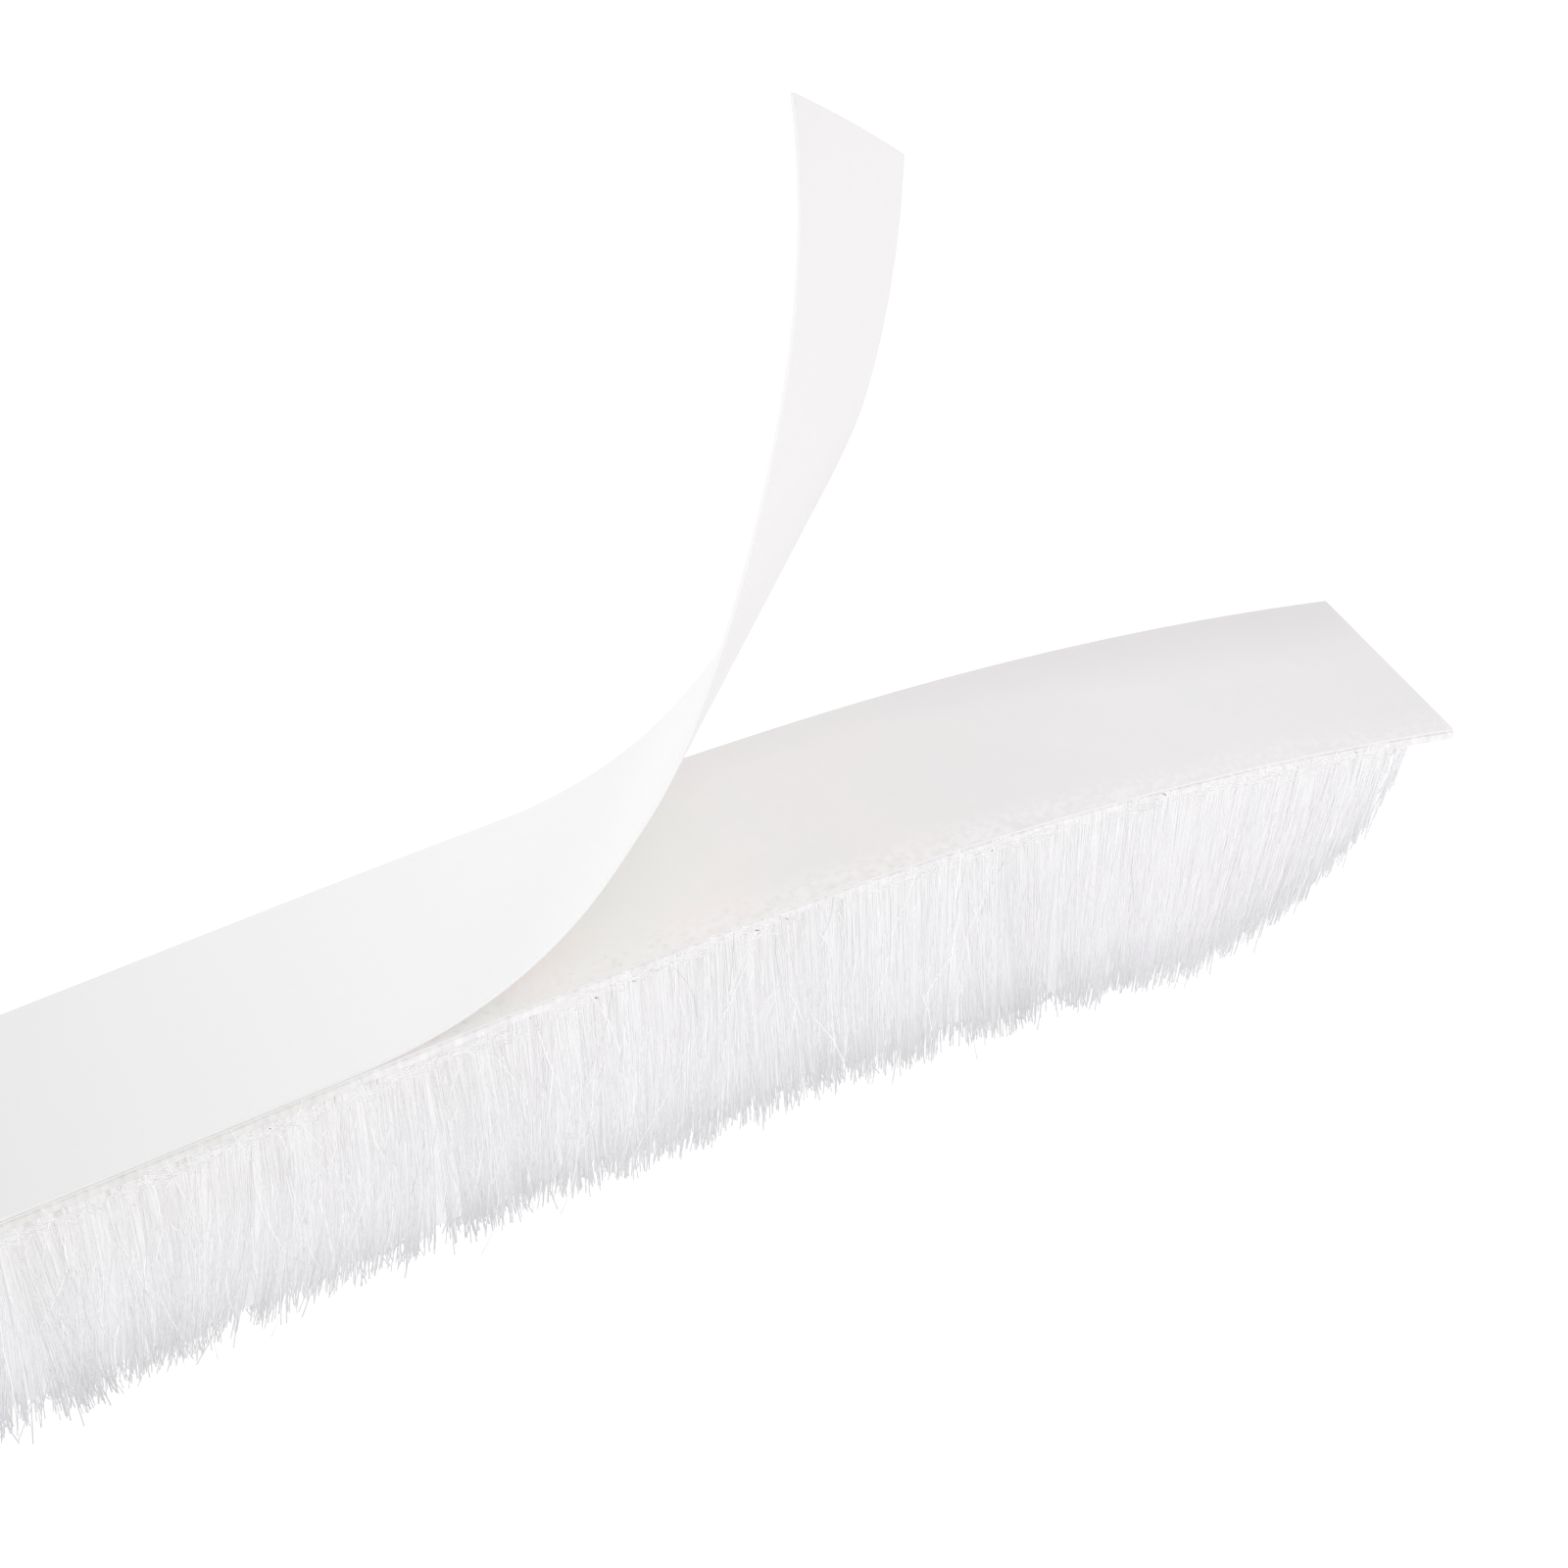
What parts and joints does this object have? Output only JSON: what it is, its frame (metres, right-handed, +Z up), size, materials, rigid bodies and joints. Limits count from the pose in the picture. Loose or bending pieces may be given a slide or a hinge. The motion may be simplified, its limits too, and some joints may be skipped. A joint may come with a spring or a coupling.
{
  "type": "brush seal strip",
  "caption": "Self-adhesive brush seal strip: dense bristle pile on a narrow woven backing, with its release liner peeled up at one end.",
  "frame": {"origin": "on the floor, on the plane of the pile's tips, under the middle of the strip", "axes": "+X along the strip to the end where the liner is peeled up, +Y across it to its far side, +Z up from the tips to the adhesive face"},
  "size_m": [0.9997, 0.0181, 0.0355],
  "materials": {
    "backing": "woven and heat-set, matt",
    "pile": "dense straight fibres, satin",
    "adhesive": "milky, slightly glossy",
    "liner": "coated paper, smooth"
  },
  "bodies": {
    "root": {"backing_strip": "backing", "bristle_pile": "pile", "adhesive_layer": "adhesive", "release_liner": "liner"}
  },
  "joints": []
}
